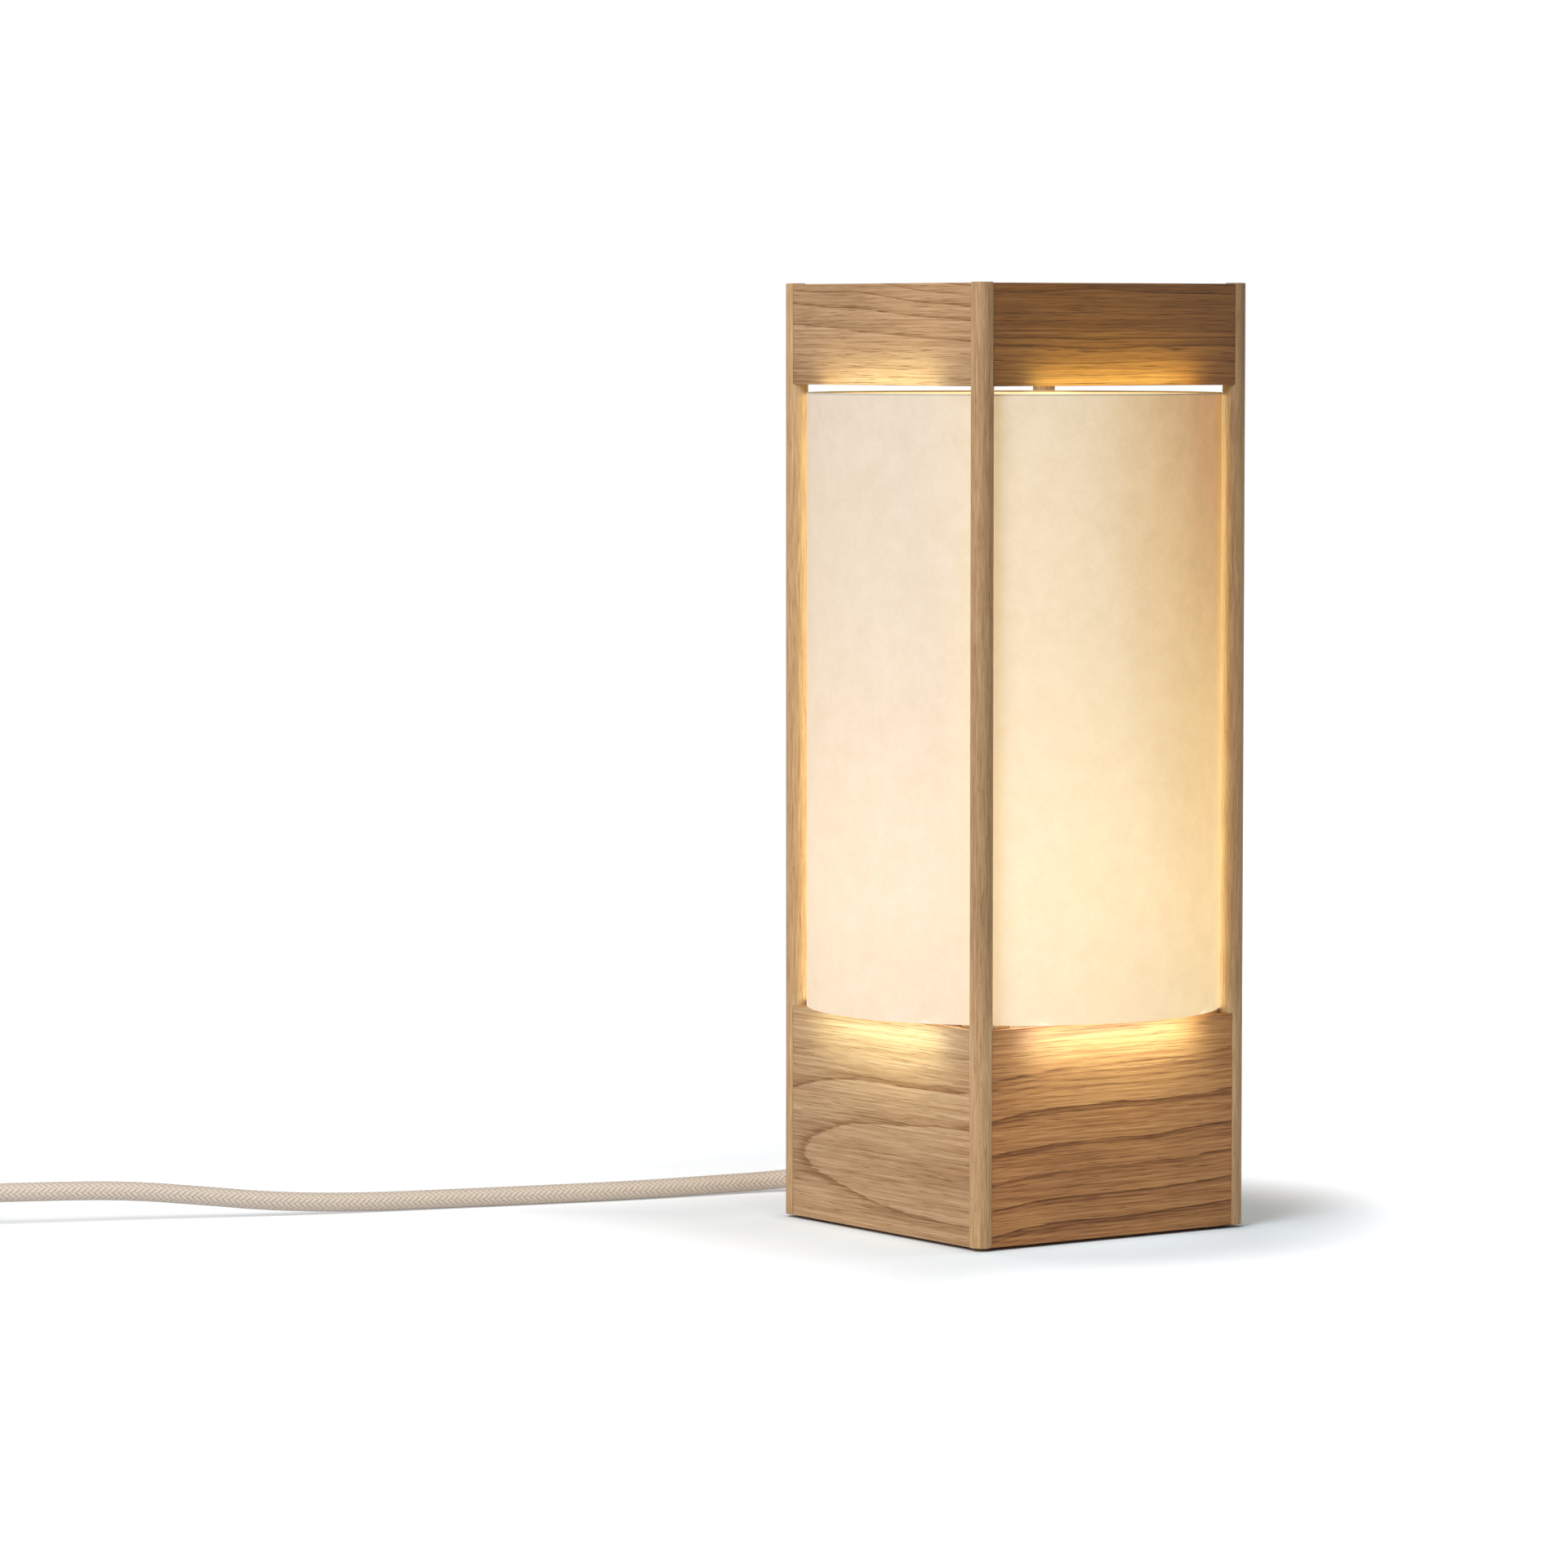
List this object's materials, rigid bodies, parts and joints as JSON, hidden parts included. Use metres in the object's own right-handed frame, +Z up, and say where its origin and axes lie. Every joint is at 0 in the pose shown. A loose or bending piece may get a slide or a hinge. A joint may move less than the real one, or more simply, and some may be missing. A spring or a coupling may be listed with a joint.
{
  "type": "table lamp",
  "caption": "Lantern table lamp: square wooden frame of round posts and panels, cylindrical translucent shade inside, small-screw bulb on a base plate, braided cord with switch and plug.",
  "frame": {"origin": "on the floor, under the lamp's axis, midway between the feet", "axes": "+Z up along the lamp's axis; -Y is the front panel's outward side, +Y the rear where the cord leaves; +X to the right"},
  "size_m": [0.5859, 0.3135, 0.333],
  "materials": {
    "post_wood": "pale wood with fine upright grain, oiled",
    "panel_wood": "brown wood with bold open-pored grain along the panel, oiled",
    "joint_wood": "plain sawn wood",
    "shade_sheet": "smooth translucent cream sheet, matt",
    "base_steel": "black powder coat",
    "screw_steel": "zinc plated",
    "foot_rubber": "matt black",
    "bracket_steel": "zinc plated sheet",
    "contact_brass": "plain",
    "holder_plastic": "white moulded",
    "insert_ceramic": "unglazed white",
    "globe_diffuser": "opal, lit from inside",
    "bulb_plastic": "white moulded",
    "bulb_metal": "plain",
    "cord_braid": "natural beige herringbone braid",
    "lead_insulation": "insulated wire",
    "cord_plastic": "ivory moulded, finely textured",
    "rocker_plastic": "ivory moulded",
    "pivot_steel": "ground",
    "tie_fabric": "dark woven strap"
  },
  "bodies": {
    "lamp": {"front_left_post": "post_wood", "front_right_post": "post_wood", "rear_left_post": "post_wood", "rear_right_post": "post_wood", "front_lower_panel": "panel_wood", "rear_lower_panel": "panel_wood", "left_lower_panel": "panel_wood", "right_lower_panel": "panel_wood", "front_upper_panel": "panel_wood", "rear_upper_panel": "panel_wood", "left_upper_panel": "panel_wood", "right_upper_panel": "panel_wood", "lower_joint_pins": "joint_wood", "upper_joint_pins": "joint_wood", "corner_blocks": "joint_wood", "shade": "shade_sheet", "base_plate": "base_steel", "base_screws": "screw_steel", "bracket_screws": "screw_steel", "cord_clamp_screws": "screw_steel", "switch_screws": "screw_steel", "rubber_feet": "foot_rubber", "holder_bracket": "bracket_steel", "nipple_nut": "bracket_steel", "holder_nipple": "contact_brass", "holder_thread_sleeve": "contact_brass", "holder_contact": "contact_brass", "switch_contacts": "contact_brass", "plug_pins": "contact_brass", "holder_cap": "holder_plastic", "holder_shell": "holder_plastic", "holder_insert": "insert_ceramic", "cord_run": "cord_braid", "cord_tail": "cord_braid", "cord_coil": "cord_braid", "cord_end": "cord_braid", "inner_cord": "cord_braid", "live_lead": "lead_insulation", "neutral_lead": "lead_insulation", "cord_strain_relief": "cord_plastic", "strain_relief_nut": "cord_plastic", "cord_clamp_base": "cord_plastic", "cord_clamp_bar": "cord_plastic", "switch_lower_housing": "cord_plastic", "switch_upper_housing": "cord_plastic", "plug_strain_relief": "cord_plastic", "plug_body": "cord_plastic", "switch_pivot_pin": "pivot_steel", "coil_tie": "tie_fabric"},
    "bulb": {"bulb_globe": "globe_diffuser", "bulb_collar": "bulb_plastic", "bulb_led_board": "bulb_metal", "bulb_screw_cap": "bulb_metal", "bulb_insulator": "insert_ceramic", "bulb_contact": "bulb_metal"},
    "rocker": {"switch_rocker": "rocker_plastic"}
  },
  "joints": [
    {"name": "bulb_turn", "type": "hinge", "parent": "lamp", "child": "bulb", "pos_m": [0, 0, 0.06], "axis": [0, 0, 1], "range_deg": [0, 1080]},
    {"name": "switch_rock", "type": "hinge", "parent": "lamp", "child": "rocker", "pos_m": [-0.3429, 0.21281, 0.0195], "axis": [0.3564, 0.9343, 0], "range_deg": [0, 18]}
  ]
}
